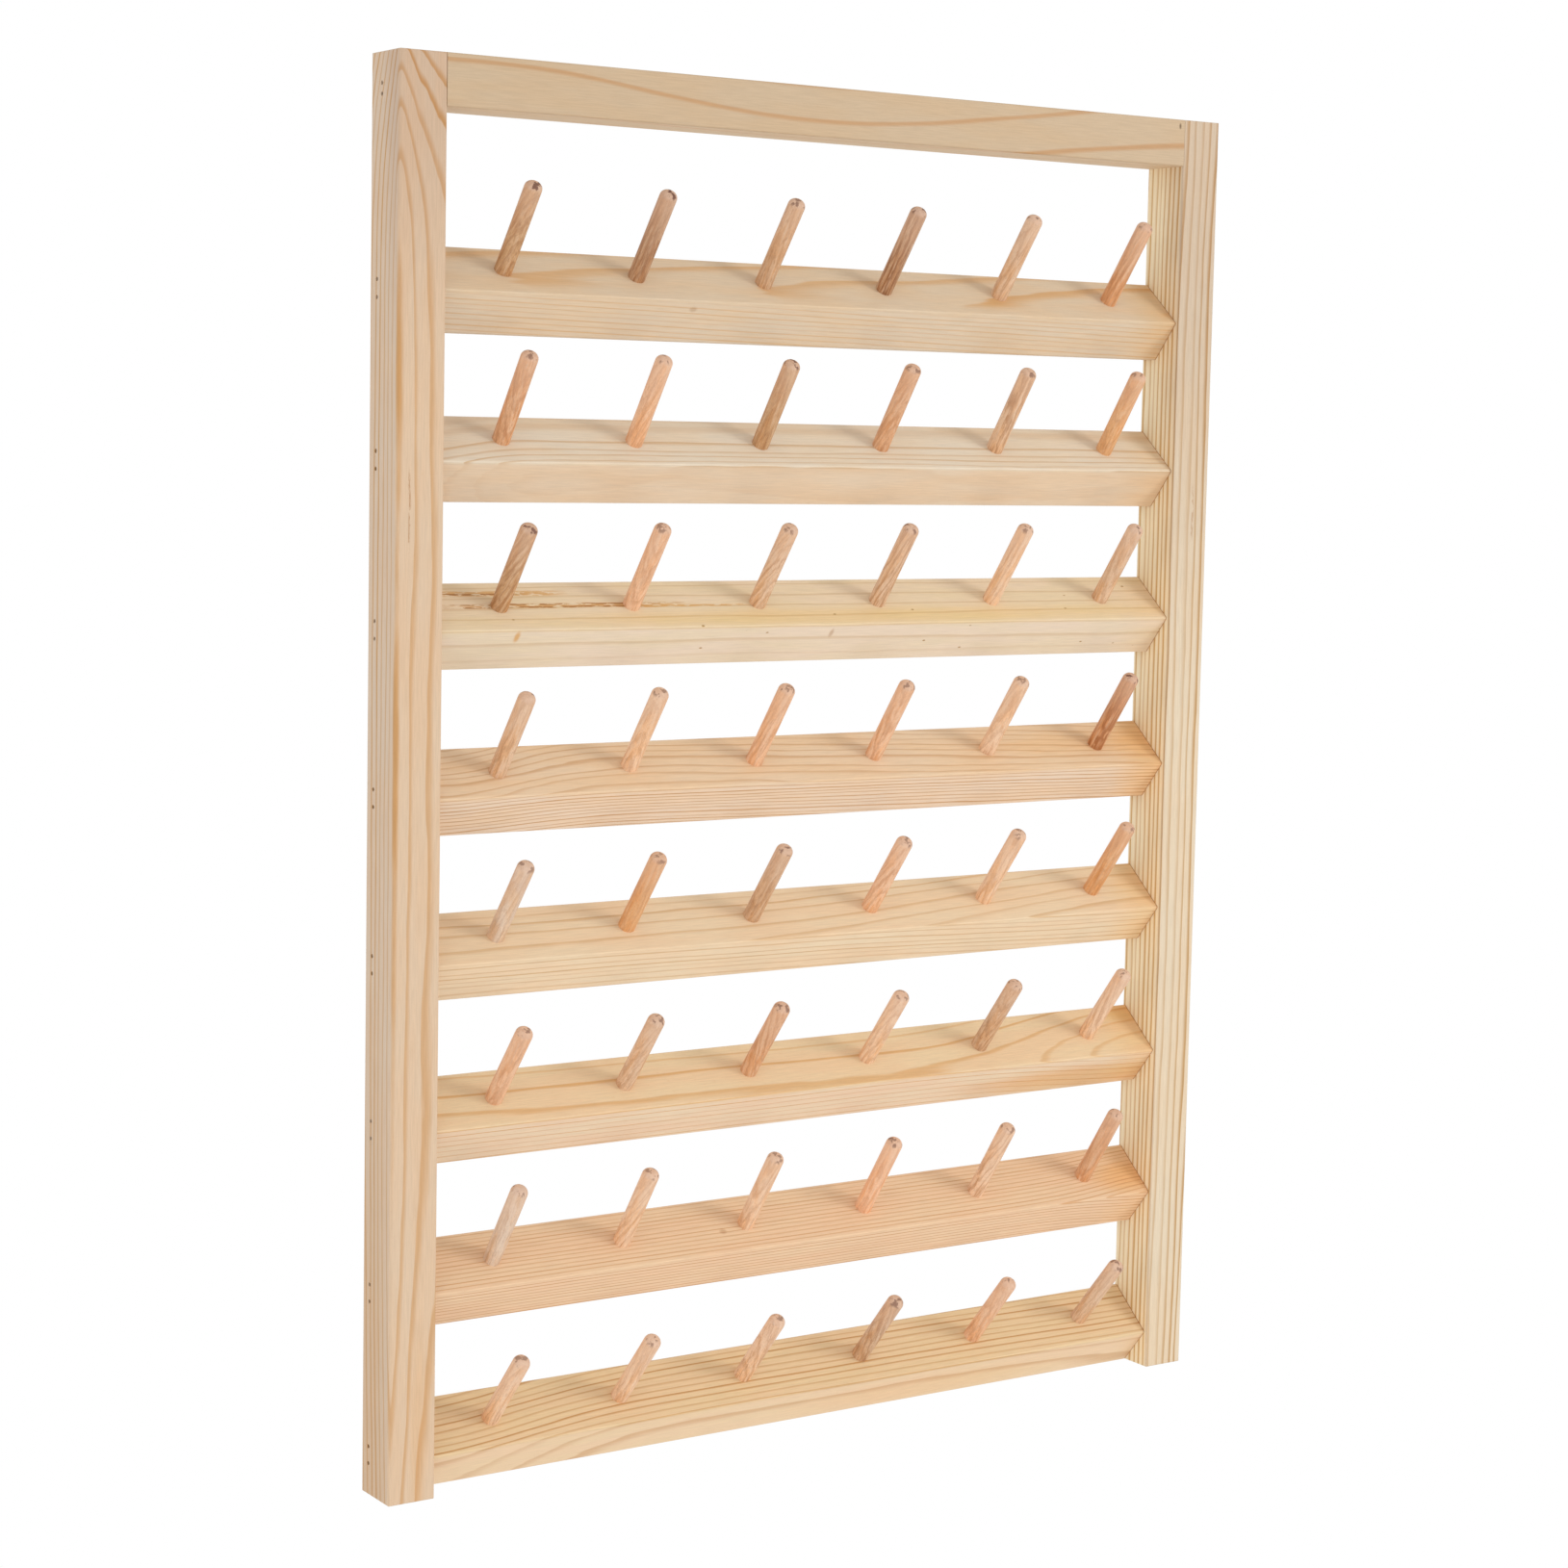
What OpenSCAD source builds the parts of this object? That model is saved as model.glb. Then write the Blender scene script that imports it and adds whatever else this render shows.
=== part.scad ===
// Wall rack for spools of thread: two stiles, a top rail and rows of sloping pegs.
// Origin: centre of the top rail's back face, on the wall. Front is -Y, up is +Z, millimetres.

/* [Frame] */
// Width over both stiles
rack_w = 320; // [290:1:360]
// Height of the stiles
rack_h = 445; // [438:1:480]
// Width of a stile, seen from the front
stile_w = 16; // [14:0.5:20]
// Depth of a stile, from the wall to its front
stile_d = 19; // [18.5:0.5:22]
// Height of the top rail
top_rail_h = 16; // [12:1:20]
// Rounding of the stiles' long arrises on their outer sides
stile_round = 1.2; // [0.4:0.1:2]
// Rounding of the stiles' long arrises on the rails' side
inner_round = 0.5; // [0.3:0.1:1]
// Rounding of the boards' other arrises
board_round = 0.6; // [0.3:0.1:1]

/* [Peg rails] */
// Number of peg rails
rows = 8; // [1:1:8]
// Distance from one peg rail to the next
row_pitch = 51.7; // [40:0.1:53]
// Gap from the stiles' feet up to the lowest rail's underside
foot_gap = 0.2; // [0:0.1:4]
// Slope of the upper bevel, from level
bevel_angle = 40; // [36:1:44]
// Width of the upper bevel, which carries the pegs
upper_bevel = 21.3; // [20:0.1:22]
// Width of the lower bevel
lower_bevel = 16.5; // [14:0.1:18]
// How far the rails' nose stands behind the stiles' fronts
nose_set = 1.3; // [1:0.1:2]

/* [Pegs] */
// Number of pegs on a rail
columns = 6; // [1:1:6]
// Distance from one peg to the next
column_pitch = 47.8; // [40:0.1:50]
// Place of the pegs on the upper bevel, up from the nose
peg_up = 10.5; // [10:0.1:12]
// Diameter of a peg
peg_d = 5.7; // [5:0.1:7]
// How far a peg stands out of its rail
peg_out = 32.5; // [25:0.5:40]
// Depth of a peg's hole
peg_hole = 8; // [5:0.5:8]
// Rounding of a peg's tip
tip_round = 2.1; // [1:0.1:2.4]
// How much thinner a peg's foot is than the peg, on the radius
foot_cut = 0.2; // [0.2:0.05:0.4]
// Play between a peg's foot and its hole, on the radius
foot_play = 0.05; // [0.02:0.01:0.1]
// How far each row's pegs stand up from square to their rail, as drilled
row_lean = [2.5, 5, 3, 3, 1.5, 1, 5.5, -1]; // [-2:0.5:6]

/* [Brads] */
// Diameter of a brad's shank
brad_d = 1; // [0.8:0.1:1.1]
// Length of a brad
brad_len = 28; // [22:1:30]
// Diameter of a brad's head
brad_head_d = 1.3; // [1.2:0.1:2]
// How far a brad's head is set below the stile
brad_set = 0.4; // [0.2:0.1:1]
// Distance between the two brads of a peg rail's end
brad_gap = 5.4; // [4:0.1:7]
// Distance between the two brads of the top rail's end
top_brad_gap = 3.2; // [2.6:0.1:5]
// Distance of the peg rails' brads from the wall
brad_back = 5; // [4:0.5:6]
// Distance of the top rail's brads from the wall
top_brad_back = 7.5; // [5:0.5:12]
// How far the middle of the top rail's brads lies below the rail's own middle
top_brad_drop = 3; // [0:0.5:4]

/* [Keyholes] */
// Depth from the rack's top down to where the wall screw hangs
hang_drop = 30; // [24:1:40]
// Length of a keyhole's slot
slot_len = 10; // [8:1:12]
// Width of a keyhole's slot
slot_w = 4.6; // [4.2:0.1:5]
// Diameter of a keyhole's entry
entry_d = 8; // [7:0.1:9]
// Depth of a keyhole's entry
entry_deep = 7; // [6.5:0.5:8]
// Thickness of the lip that a screw head catches behind
lip = 3; // [2:0.5:3.5]

/* [Hidden] */
$fn = 48;
// Chords in a quarter of a rounded arris
arris_steps = 4;
// Reach of a cut past the face that it opens
past = 1;
// Height and play of a brad's head and shank
brad_head_h = 0.6;
brad_play = 0.02;
brad_point = 2;
// Chamfer round a peg's foot, and the height of the peg's shoulder above the rail
foot_chamfer = 0.5;
foot_above = 0.6;
// A screw head's space is a little narrower and shallower than the entry
head_slot_w = entry_d - 0.4;
head_slot_deep = entry_deep - 0.5;

inner_w = rack_w - 2 * stile_w;
rack_top = top_rail_h / 2;
rack_foot = rack_top - rack_h;
peg_r = peg_d / 2;
foot_r = peg_r - foot_cut;
peg_hole_r = foot_r + foot_play;

// The rail's outline is set out from its nose, the front edge between the bevels
nose_y = nose_set - stile_d;
tip_y = nose_y + upper_bevel * cos(bevel_angle);
tip_z = upper_bevel * sin(bevel_angle);
chin_y = nose_y + lower_bevel * sin(bevel_angle);
chin_z = -lower_bevel * cos(bevel_angle);
lowest_nose_z = rack_foot + foot_gap - chin_z;

peg_y = nose_y + peg_up * cos(bevel_angle);
peg_rise = peg_up * sin(bevel_angle);

STILES = ["left_stile", "right_stile"];
RAILS = [for (r = [1 : rows]) str("peg_rail_", r)];
PEGS = [for (r = [1 : rows]) for (c = [1 : columns]) str("peg_r", r, "_c", c)];

// Height of a row's nose: row 1 is the top one
function nose_z(row) = lowest_nose_z + row_pitch * (rows - row);
// Place of a peg across the rack: column 1 is at the left
function peg_x(column) = column_pitch * (column - (columns + 1) / 2);
// Lean of a row's pegs towards the viewer, from upright
function peg_lean(row) = bevel_angle - row_lean[row - 1];
// Signed turn from one direction to another, the short way round
function short_turn(from, to) = (to - from + 540) % 360 - 180;

// Arc that rounds the corner b, between its neighbours a and c
function corner_arc(a, b, c, r) =
    let (
        u = (a - b) / norm(a - b),
        v = (c - b) / norm(c - b),
        half = acos(u * v) / 2,
        centre = b + (u + v) / norm(u + v) * r / sin(half),
        p = b + u * r / tan(half) - centre,
        q = b + v * r / tan(half) - centre,
        start = atan2(p.y, p.x),
        turn = short_turn(start, atan2(q.y, q.x))
    )
    [for (k = [0 : arris_steps])
        let (t = start + turn * k / arris_steps)
        centre + r * [cos(t), sin(t)]];

// An outline with each of its corners rounded to its own radius
function eased_each(outline, radii) =
    let (n = len(outline))
    [for (i = [0 : n - 1])
        each corner_arc(outline[(i + n - 1) % n], outline[i], outline[(i + 1) % n], radii[i])];

// An outline with all its corners rounded to radius r
function eased(outline, r) = eased_each(outline, [for (corner = outline) r]);

function box_outline(w, h) = [[0, 0], [w, 0], [w, h], [0, h]];

// Outline of a peg rail in Y and Z, set out from the height of its nose
function rail_outline() = [
    [nose_y, 0],
    [chin_y, chin_z],
    [0, chin_z],
    [0, tip_z],
    [tip_y, tip_z]
];

// Runs an outline drawn in Y and Z along X, centred on the rack
module along_x(length) {
    translate([-length / 2, 0, 0])
        rotate([90, 0, 90])
            linear_extrude(length)
                children();
}

// Places its children on a peg's axis, where it leaves the rail, with +Z out along the peg
module at_peg(row, column) {
    translate([peg_x(column), peg_y, nose_z(row) + peg_rise])
        rotate([peg_lean(row), 0, 0])
            children();
}

// Places its children at a brad of the end of a rail on one side, with +Z into the stile
module at_brads(side, back, middle_z, gap) {
    for (end = [-1, 1])
        translate([side * rack_w / 2, -back, middle_z + end * gap / 2])
            rotate([0, -side * 90, 0])
                children();
}

// Places its children at every brad on one side of the rack
module at_all_brads(side) {
    at_brads(side, top_brad_back, -top_brad_drop, top_brad_gap)
        children();
    for (row = [1 : rows])
        at_brads(side, brad_back, nose_z(row), brad_gap)
            children();
}

// A stepped pin along +Z: head, shank and point. The play makes it a hole that clears the brad
module brad_shape(play, mouth) {
    head_r = brad_head_d / 2 + play;
    shank_r = brad_d / 2 + play;
    straight = brad_len - brad_point;
    translate([0, 0, brad_set - mouth])
        cylinder(r = head_r, h = brad_head_h + mouth);
    translate([0, 0, brad_set])
        cylinder(r = shank_r, h = straight);
    translate([0, 0, brad_set + straight])
        cylinder(r1 = shank_r, r2 = shank_r / 4, h = brad_point + play);
}

// Keyhole cut into a back face: entry below, slot and head space above it
module keyhole() {
    rotate([90, 0, 0]) {
        translate([0, -slot_len, -past])
            cylinder(d = entry_d, h = entry_deep + past);
        keyhole_slot(slot_w, -past, lip);
        keyhole_slot(head_slot_w, lip, head_slot_deep);
    }
}

module keyhole_slot(width, start, end) {
    translate([0, 0, start])
        linear_extrude(end - start) {
            circle(d = width);
            translate([-width / 2, -slot_len])
                square([width, slot_len]);
        }
}

// Roundings of a stile's four long arrises, from its plan's corner at the least X and Y onwards
function stile_radii(side) =
    side < 0
        ? [stile_round, inner_round, inner_round, stile_round]
        : [inner_round, stile_round, stile_round, inner_round];

// A stile is the solid that its plan, front and side outlines have in common
module stile_blank(side) {
    intersection() {
        linear_extrude(rack_h)
            polygon(eased_each(box_outline(stile_w, stile_d), stile_radii(side)));
        translate([0, stile_d, 0])
            rotate([90, 0, 0])
                linear_extrude(stile_d)
                    polygon(eased(box_outline(stile_w, rack_h), board_round));
        rotate([90, 0, 90])
            linear_extrude(stile_w)
                polygon(eased(box_outline(stile_d, rack_h), board_round));
    }
}

module stile(side) {
    difference() {
        translate([side * (rack_w - stile_w) / 2 - stile_w / 2, -stile_d, rack_foot])
            stile_blank(side);
        at_all_brads(side)
            brad_shape(brad_play, brad_set + past);
        translate([side * (rack_w - stile_w) / 2, 0, rack_top - hang_drop])
            keyhole();
    }
}

module left_stile() {
    color("#dcb98c")
        stile(-1);
}

module right_stile() {
    color("#e6c69b")
        stile(1);
}

module top_rail() {
    color("#e8cba1")
        difference() {
            along_x(inner_w)
                translate([-stile_d, -top_rail_h / 2])
                    polygon(eased(box_outline(stile_d, top_rail_h), board_round));
            for (side = [-1, 1])
                at_brads(side, top_brad_back, -top_brad_drop, top_brad_gap)
                    brad_shape(brad_play, 0);
        }
}

module peg_rail(row) {
    color("#e9c99d")
        difference() {
            translate([0, 0, nose_z(row)])
                along_x(inner_w)
                    polygon(eased(rail_outline(), board_round));
            for (column = [1 : columns])
                at_peg(row, column)
                    translate([0, 0, -peg_hole])
                        cylinder(r = peg_hole_r, h = peg_hole + past);
            for (side = [-1, 1])
                at_brads(side, brad_back, nose_z(row), brad_gap)
                    brad_shape(brad_play, 0);
        }
}

// A peg along +Z: its thinner foot stands on the floor of its hole, and its tip is rounded
module peg(row, column) {
    color("#d2a679")
        at_peg(row, column) {
            translate([0, 0, -peg_hole])
                cylinder(r1 = foot_r - foot_chamfer, r2 = foot_r, h = foot_chamfer);
            translate([0, 0, foot_chamfer - peg_hole])
                cylinder(r = foot_r, h = peg_hole - foot_chamfer + foot_above);
            translate([0, 0, foot_above])
                cylinder(r = peg_r, h = peg_out - tip_round - foot_above);
            translate([0, 0, peg_out - tip_round])
                peg_tip();
        }
}

// The rounded end of a peg, with the flat that the saw left
module peg_tip() {
    flat_r = peg_r - tip_round;
    rotate_extrude() {
        square([flat_r, tip_round]);
        intersection() {
            translate([flat_r, 0])
                circle(r = tip_round);
            square([peg_r, tip_round]);
        }
    }
}

module brad_nails() {
    color("#6f6a62")
        for (side = [-1, 1])
            at_all_brads(side)
                brad_shape(0, 0);
}

left_stile();
right_stile();
top_rail();
for (row = [1 : rows])
    peg_rail(row);
for (row = [1 : rows], column = [1 : columns])
    peg(row, column);
brad_nails();
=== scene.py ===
"""Look of the thread rack: a pine frame, eight bevelled peg rails, hardwood pegs and steel brads."""

import math

import bmesh
import bpy
import numpy as np
from mathutils import Matrix, Vector


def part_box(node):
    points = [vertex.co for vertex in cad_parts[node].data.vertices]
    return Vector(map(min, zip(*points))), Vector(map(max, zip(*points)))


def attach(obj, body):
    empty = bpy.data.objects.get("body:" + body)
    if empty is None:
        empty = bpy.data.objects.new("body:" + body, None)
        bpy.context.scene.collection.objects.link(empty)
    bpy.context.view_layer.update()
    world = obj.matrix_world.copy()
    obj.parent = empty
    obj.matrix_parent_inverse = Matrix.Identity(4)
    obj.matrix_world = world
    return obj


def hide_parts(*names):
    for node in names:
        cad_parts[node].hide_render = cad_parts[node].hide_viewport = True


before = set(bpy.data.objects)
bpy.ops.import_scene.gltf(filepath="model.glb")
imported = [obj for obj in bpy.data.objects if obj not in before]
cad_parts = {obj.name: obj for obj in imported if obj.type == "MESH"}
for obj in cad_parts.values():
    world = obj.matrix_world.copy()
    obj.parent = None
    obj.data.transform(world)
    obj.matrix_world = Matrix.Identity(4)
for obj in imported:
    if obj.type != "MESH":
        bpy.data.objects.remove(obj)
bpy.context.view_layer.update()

# Sizes of the rack in metres, as in the CAD
MM = 0.001
TO_MM = 1000.0
ROWS = 8
COLUMNS = 6
ROW_PITCH = 51.7 * MM
COLUMN_PITCH = 47.8 * MM
BEVEL = math.radians(40)
LOWER_BEVEL = 16.5 * MM
NOSE_Y = -17.7 * MM
INNER_HALF = 144 * MM
RACK_HALF = 160 * MM
RACK_TOP = 8 * MM
STILE_FRONT = -19 * MM

PEG_UP = 10.5 * MM
PEG_RADIUS = 2.85 * MM
PEG_REACH = 32.5 * MM
PEG_DEPTH = 8 * MM
PEG_TIP = 2.1 * MM
PEG_SIDES = 36
ROW_LEAN = (2.5, 5, 3, 3, 1.5, 1, 5.5, -1)

BRAD_BACK = 5 * MM
BRAD_GAP = 5.4 * MM
TOP_BRAD_BACK = 7.5 * MM
TOP_BRAD_GAP = 3.2 * MM
TOP_BRAD_DROP = 3 * MM
BRAD_SIDES = 20
# Outline of a brad in mm from the stile's face inwards, and its radius there
BRAD_DEPTHS = (0.42, 0.44, 0.62, 0.98, 1.0, 26.3, 28.3)
BRAD_RADII = (0.02, 0.5, 0.64, 0.64, 0.49, 0.49, 0.12)

# Corners this close are one corner
SAME_PLACE = 0.001 * MM
# Faces this close in direction and place belong to one flat plane of a board
PLANE_TURN = 0.9995
PLANE_GAP = 0.02 * MM
# Planes that meet at less than this angle shade smoothly into each other
SMOOTH_TURN = math.cos(math.radians(40))

WHITE = (1.0, 1.0, 1.0, 1.0)


def colour(red, green, blue):
    """Linear colour with alpha from the 0-255 values that a picture shows, by the usual screen curve."""
    out = []
    for part in (red, green, blue):
        part = part / 255
        out.append(part / 12.92 if part <= 0.04045 else ((part + 0.055) / 1.055) ** 2.4)
    return (*out, 1.0)


# Places of the Mix node's sockets: the two inputs and the output for numbers, and those for colours
MIX_NUMBERS = (2, 3, 0)
MIX_COLOURS = (6, 7, 2)


class Steps:
    """Adds nodes to a tree. A value is a number, a vector, a colour or another node's output."""

    def __init__(self, tree):
        self.tree = tree

    def feed(self, socket, value):
        if isinstance(value, bpy.types.NodeSocket):
            self.tree.links.new(value, socket)
        else:
            socket.default_value = value

    def add(self, kind, inputs=None, **settings):
        made = self.tree.nodes.new(kind)
        for name, value in settings.items():
            setattr(made, name, value)
        for name, value in (inputs or {}).items():
            self.feed(made.inputs[name], value)
        return made

    def first(self, kind, inputs=None, **settings):
        """Adds a node and gives its first output."""
        return self.add(kind, inputs, **settings).outputs[0]

    def calc(self, operation, *values, clamp=False):
        made = self.add("ShaderNodeMath", operation=operation, use_clamp=clamp)
        for index, value in enumerate(values):
            self.feed(made.inputs[index], value)
        return made.outputs[0]

    def plus(self, first, second):
        return self.calc("ADD", first, second)

    def minus(self, first, second):
        return self.calc("SUBTRACT", first, second)

    def times(self, first, second):
        return self.calc("MULTIPLY", first, second)

    def over(self, first, second, clamp=False):
        return self.calc("DIVIDE", first, second, clamp=clamp)

    def vector(self, operation, *values):
        made = self.add("ShaderNodeVectorMath", operation=operation)
        for index, value in enumerate(values):
            self.feed(made.inputs[index], value)
        return made.outputs["Value" if operation == "LENGTH" else "Vector"]

    def scaled(self, vector, factor):
        return self.first("ShaderNodeVectorMath", {"Vector": vector, "Scale": factor}, operation="SCALE")

    def joined(self, x, y, z):
        return self.first("ShaderNodeCombineXYZ", {"X": x, "Y": y, "Z": z})

    def parts(self, vector):
        made = self.add("ShaderNodeSeparateXYZ", {"Vector": vector})
        return made.outputs["X"], made.outputs["Y"], made.outputs["Z"]

    def ramp(self, value, start, end, low=0.0, high=1.0):
        """Smooth step of a value from start to end. Start may be above end."""
        inputs = {"Value": value, "From Min": start, "From Max": end, "To Min": low, "To Max": high}
        return self.first("ShaderNodeMapRange", inputs, interpolation_type="SMOOTHSTEP")

    def noise(self, place, fineness, detail, roughness):
        """Noise from 0 to 1 at a place."""
        return self.noise_node(place, fineness, detail, roughness).outputs["Fac"]

    def noise_vector(self, place, fineness, detail, roughness):
        """Noise from -0.5 to 0.5 along each axis."""
        three = self.noise_node(place, fineness, detail, roughness).outputs["Color"]
        return self.vector("SUBTRACT", three, (0.5, 0.5, 0.5))

    def noise_node(self, place, fineness, detail, roughness):
        inputs = {"Vector": place, "Scale": fineness, "Detail": detail, "Roughness": roughness}
        return self.add("ShaderNodeTexNoise", inputs)

    def square(self, value):
        return self.times(value, value)

    def drawn_out(self, place, run, seeded=None):
        """The place with its X divided by a run, which draws patterns out along it, and moved by a seed."""
        x, across, out = self.parts(place)
        x = self.over(x, run)
        if seeded is not None:
            x = self.plus(x, seeded)
        return self.joined(x, across, out)

    def bump(self, height, strength, depth):
        inputs = {"Height": height, "Strength": strength, "Distance": depth}
        return self.first("ShaderNodeBump", inputs)

    def grey(self, value):
        return self.joined(value, value, value)

    def random(self, number):
        return self.first("ShaderNodeTexWhiteNoise", {"W": number}, noise_dimensions="1D")

    def mix(self, sockets, factor, first, second, **settings):
        first_input, second_input, output = sockets
        inputs = {0: factor, first_input: first, second_input: second}
        return self.add("ShaderNodeMix", inputs, **settings).outputs[output]

    def blend(self, factor, first, second, how="MIX"):
        """A colour between two colours."""
        return self.mix(MIX_COLOURS, factor, first, second, data_type="RGBA", blend_type=how)

    def stained(self, base, tint):
        """A colour multiplied by a tint, for stains and for painted light and shade."""
        return self.blend(1.0, base, tint, "MULTIPLY")

    def between(self, factor, first, second):
        """A number between two numbers."""
        return self.mix(MIX_NUMBERS, factor, first, second, data_type="FLOAT")


def shader_group(name, defaults, outputs):
    """A shader node group whose inputs have these defaults. Returns the tree's steps, inputs and results."""
    tree = bpy.data.node_groups.new(name, "ShaderNodeTree")
    for label, default in defaults.items():
        kind = "NodeSocketVector" if isinstance(default, tuple) else "NodeSocketFloat"
        tree.interface.new_socket(label, in_out="INPUT", socket_type=kind).default_value = default
    for label in outputs:
        tree.interface.new_socket(label, in_out="OUTPUT", socket_type="NodeSocketFloat")
    s = Steps(tree)
    return s, s.add("NodeGroupInput").outputs, s.add("NodeGroupOutput").inputs


# A noise pattern is given as its fineness, detail and roughness.
# A run is how far a pattern is drawn out along the grain.
# A range is where a smooth step starts and ends.
WAVES = (0.11, 1.5, 0.45)
RIPPLES = (0.5, 1.0, 0.5)
WAVE_RUN = 9.0
WAVE_SHARE = 4.0
RIPPLE_SHARE = 0.8
# How much one year's growth resembles the next
YEAR_FINENESS = 0.45
# Late wood is darkest at this part of a ring and breaks off in the range after it
LATE_PEAK = 0.9
LATE_BREAK = (1.0, 0.93)
PALEST_LATE = 0.45
# Each seed moves the patterns this far
RING_SEED_STEP = 31.7
TONE_SEED_STEP = 7.0


def pith_shift(s, given, x):
    """How far the pith line has moved sideways at x, by its slope and its two swells."""
    shift = s.scaled(given["Slope per 100"], s.over(x, 100.0))
    for which in ("First", "Second"):
        away = s.over(s.minus(x, given[which + " Place"]), given[which + " Length"])
        bell = s.calc("EXPONENT", s.times(s.square(away), -1.0))
        shift = s.vector("ADD", shift, s.scaled(given[which + " Swell"], bell))
    return shift


def ring_age(s, given, growth, seeded):
    """Years of growth at a distance from the board's corner, with a whole number where each ring ends."""
    drift = s.times(s.square(growth), given["Width Drift"])
    age = s.minus(s.over(growth, given["Ring Width"]), drift)
    age = s.plus(age, given["Ring Shift"])
    inputs = {"W": s.plus(s.times(age, YEAR_FINENESS), seeded), "Scale": 1.0, "Detail": 1.0}
    weather = s.first("ShaderNodeTexNoise", inputs, noise_dimensions="1D")
    return s.plus(age, s.times(s.minus(weather, 0.5), given["Unevenness"]))


def growth_rings():
    """Rings round a pith line that runs along a board's X and may slope and swell. Lengths are in mm."""
    s, given, result = shader_group(
        "Growth rings",
        {
            "Place": (0, 0, 0), "Seed": 0, "Pith": (0, -30, -30), "Slope per 100": (0, 0, 0),
            "First Swell": (0, 0, 0), "First Place": 0, "First Length": 50,
            "Second Swell": (0, 0, 0), "Second Place": 0, "Second Length": 50,
            "Ring Width": 2, "Width Drift": 0, "Ring Shift": 0, "Late Share": 0.4,
            "Wander": 0.5, "Unevenness": 0.6,
        },
        ("Late",),
    )
    x, across, out = s.parts(given["Place"])
    seeded = s.times(given["Seed"], RING_SEED_STEP)
    drawn = s.drawn_out(given["Place"], WAVE_RUN, seeded)
    wave = s.scaled(s.noise_vector(drawn, *WAVES), s.times(given["Wander"], WAVE_SHARE))
    ripple = s.scaled(s.noise_vector(drawn, *RIPPLES), s.times(given["Wander"], RIPPLE_SHARE))
    from_pith = s.vector("SUBTRACT", s.joined(0.0, across, out), given["Pith"])
    from_pith = s.vector("SUBTRACT", from_pith, pith_shift(s, given, x))
    from_pith = s.vector("ADD", s.vector("ADD", from_pith, wave), ripple)
    from_pith = s.vector("MULTIPLY", from_pith, (0.0, 1.0, 1.0))
    growth = s.minus(s.vector("LENGTH", from_pith), s.vector("LENGTH", given["Pith"]))
    age = ring_age(s, given, growth, seeded)
    part = s.calc("FRACT", age)
    darkens = s.ramp(part, s.minus(1.0, given["Late Share"]), LATE_PEAK)
    late = s.times(darkens, s.ramp(part, *LATE_BREAK))
    tone = s.random(s.plus(s.calc("FLOOR", age), s.times(given["Seed"], TONE_SEED_STEP)))
    s.feed(result["Late"], s.times(late, s.between(tone, PALEST_LATE, 1.0)))
    return s.tree


FIBRE_FIGURE = (3.0, 0.6)
CLOUDS = (0.13, 2.0, 0.5)
CLOUD_RUN = 6.0
PORES = (3.4, 1.0, 0.5)
PORE_RUN = 7.0
PORE_RANGE = (0.62, 0.74)
FIBRE_SEED_STEP = 13.3


def wood_fibre():
    """Fine streaks, wide clouds and short pores drawn out along a board's X."""
    defaults = {"Place": (0, 0, 0), "Seed": 0, "Length": 25, "Fineness": 2.5}
    s, given, result = shader_group("Wood fibre", defaults, ("Streak", "Cloud", "Pore"))
    place = given["Place"]
    seeded = s.times(given["Seed"], FIBRE_SEED_STEP)
    streak = s.noise(s.drawn_out(place, given["Length"], seeded), given["Fineness"], *FIBRE_FIGURE)
    pore = s.noise(s.drawn_out(place, PORE_RUN, seeded), *PORES)
    s.feed(result["Streak"], streak)
    s.feed(result["Cloud"], s.noise(s.drawn_out(place, CLOUD_RUN, seeded), *CLOUDS))
    s.feed(result["Pore"], s.ramp(pore, *PORE_RANGE))
    return s.tree


RAGGED_EDGE = (0.7, 3.0, 0.6)
RAGGED_RUN = 8.0
PATCH_RANGE = (1.0, 0.25)


def soft_patch():
    """A soft-edged patch round a centre, with a radius along each of a board's axes, in mm."""
    defaults = {"Place": (0, 0, 0), "Centre": (0, 0, 0), "Radii": (10, 10, 10), "Raggedness": 0.3}
    s, given, result = shader_group("Soft patch", defaults, ("Mask",))
    away = s.vector("DIVIDE", s.vector("SUBTRACT", given["Place"], given["Centre"]), given["Radii"])
    ragged = s.minus(s.noise(s.drawn_out(given["Place"], RAGGED_RUN), *RAGGED_EDGE), 0.5)
    reach = s.plus(s.vector("LENGTH", away), s.times(ragged, given["Raggedness"]))
    s.feed(result["Mask"], s.ramp(reach, *PATCH_RANGE))
    return s.tree


RESIN_BREAKS = (1.1, 3.0, 0.65)
RESIN_RUN = 5.0
RESIN_BREAK_EDGE = 0.09
RESIN_TAPER = (1.0, 0.55)
RESIN_CORE = 0.3
SWAY = (1.0, 1.0, 0.5)
SWAY_RUN = 12.0


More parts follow.
